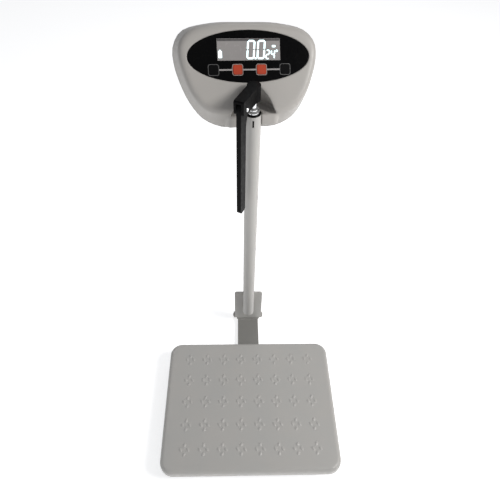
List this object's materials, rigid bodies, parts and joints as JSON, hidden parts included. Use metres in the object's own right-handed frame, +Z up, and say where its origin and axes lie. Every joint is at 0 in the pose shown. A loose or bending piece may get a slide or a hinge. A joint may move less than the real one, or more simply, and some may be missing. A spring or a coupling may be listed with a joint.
{
  "type": "electronic body scale with height rod",
  "caption": "Electronic person scale: low platform on a load cell, upright column with a tilted display head, and a telescopic height rod with a turning bracket and a fold-down arm.",
  "frame": {"origin": "floor point under the middle of the bounding box", "axes": "+Z up, -Y to the front where the person steps on, +X to the right of someone facing the display"},
  "size_m": [0.4, 0.5426, 0.7956],
  "materials": {
    "white_paint": "warm white powder coat, fine orange peel",
    "white_plastic": "moulded, satin",
    "black_plastic": "moulded, satin",
    "black_gloss": "glossy film",
    "display_glass": "backlit grey display",
    "red_key": "satin orange-red key",
    "chrome": "polished plated tube",
    "zinc": "zinc plated",
    "steel": "grey primer on pressed steel",
    "aluminium": "machined",
    "rubber": "moulded",
    "grey_plastic": "moulded",
    "circuit_board": "solder mask",
    "battery_wrap": "shrink wrap"
  },
  "bodies": {
    "base": {"platform_cover": "white_paint", "column_bracket": "white_paint", "column_tube": "white_paint", "column_foot_plug": "white_paint", "cover_pad_1": "rubber", "cover_pad_2": "rubber", "cover_pad_3": "rubber", "cover_pad_4": "rubber", "rubber_foot_1": "rubber", "rubber_foot_2": "rubber", "rubber_foot_3": "rubber", "rubber_foot_4": "rubber", "cable_grommet": "rubber", "platform_frame": "steel", "upper_spacer": "steel", "lower_spacer": "steel", "base_pan": "steel", "load_cell": "aluminium", "cell_screw_upper_1": "zinc", "cell_screw_upper_2": "zinc", "cell_screw_lower_1": "zinc", "cell_screw_lower_2": "zinc", "bracket_screw_1": "zinc", "bracket_screw_2": "zinc", "roller_axle": "zinc", "column_bolt_1": "zinc", "column_bolt_2": "zinc", "shell_screw_1": "zinc", "shell_screw_2": "zinc", "head_screw_1": "zinc", "head_screw_2": "zinc", "cable_clip_1": "grey_plastic", "cable_clip_2": "grey_plastic", "column_top_bush": "black_plastic", "power_socket": "black_plastic", "signal_cable": "black_plastic", "head_front_shell": "white_plastic", "head_rear_shell": "white_plastic", "fascia_panel": "black_gloss", "lcd_module": "display_glass", "main_board": "circuit_board", "battery_pack": "battery_wrap"},
    "lower_rod": {"lower_rod": "chrome", "lower_rod_bush": "grey_plastic"},
    "middle_rod": {"middle_rod": "chrome", "middle_rod_bush": "grey_plastic"},
    "rod_glide": {"upper_rod_glide": "black_plastic"},
    "upper_rod": {"upper_rod": "chrome", "arm_bracket": "black_plastic", "arm_pin": "chrome"},
    "measuring_arm": {"measuring_arm": "black_plastic"},
    "key_1": {"key_1": "black_plastic"},
    "key_2": {"key_2": "red_key"},
    "key_3": {"key_3": "red_key"},
    "key_4": {"key_4": "black_plastic"},
    "roller_left": {"transport_roller_left": "white_plastic"},
    "roller_right": {"transport_roller_right": "white_plastic"},
    "battery_door": {"battery_door": "white_plastic"}
  },
  "joints": [
    {"name": "lower_rod_slide", "type": "slide", "parent": "base", "child": "lower_rod", "axis": [0, 0, 1], "range_m": [0, 0.48]},
    {"name": "middle_rod_slide", "type": "slide", "parent": "lower_rod", "child": "middle_rod", "axis": [0, 0, 1], "range_m": [0, 0.48]},
    {"name": "upper_rod_slide", "type": "slide", "parent": "middle_rod", "child": "rod_glide", "axis": [0, 0, 1], "range_m": [0, 0.48]},
    {"name": "rod_swivel", "type": "hinge", "parent": "rod_glide", "child": "upper_rod", "pos_m": [0, 0.13165, 0.716], "axis": [0, 0, 1], "range_deg": [-20, 85]},
    {"name": "arm_fold", "type": "hinge", "parent": "upper_rod", "child": "measuring_arm", "pos_m": [-0.01898, 0.09273, 0.715], "axis": [-0.8988, 0.4384, 0], "range_deg": [0, 90]},
    {"name": "key_1_press", "type": "slide", "parent": "base", "child": "key_1", "axis": [-0.1198, 0.7566, -0.6428], "range_m": [0, 0.0008], "stiffness_N_per_m": 400, "springref_m": -0.0004},
    {"name": "key_2_press", "type": "slide", "parent": "base", "child": "key_2", "axis": [-0.1198, 0.7566, -0.6428], "range_m": [0, 0.0008], "stiffness_N_per_m": 400, "springref_m": -0.0004},
    {"name": "key_3_press", "type": "slide", "parent": "base", "child": "key_3", "axis": [-0.1198, 0.7566, -0.6428], "range_m": [0, 0.0008], "stiffness_N_per_m": 400, "springref_m": -0.0004},
    {"name": "key_4_press", "type": "slide", "parent": "base", "child": "key_4", "axis": [-0.1198, 0.7566, -0.6428], "range_m": [0, 0.0008], "stiffness_N_per_m": 400, "springref_m": -0.0004},
    {"name": "roller_left_spin", "type": "hinge", "parent": "base", "child": "roller_left", "pos_m": [-0.0358, 0.15925, 0.0135], "axis": [1, 0, 0], "continuous": true},
    {"name": "roller_right_spin", "type": "hinge", "parent": "base", "child": "roller_right", "pos_m": [0.0358, 0.15925, 0.0135], "axis": [1, 0, 0], "continuous": true},
    {"name": "battery_door_lift", "type": "slide", "parent": "base", "child": "battery_door", "axis": [-0.1198, 0.7566, -0.6428], "range_m": [0, 0.05]}
  ]
}
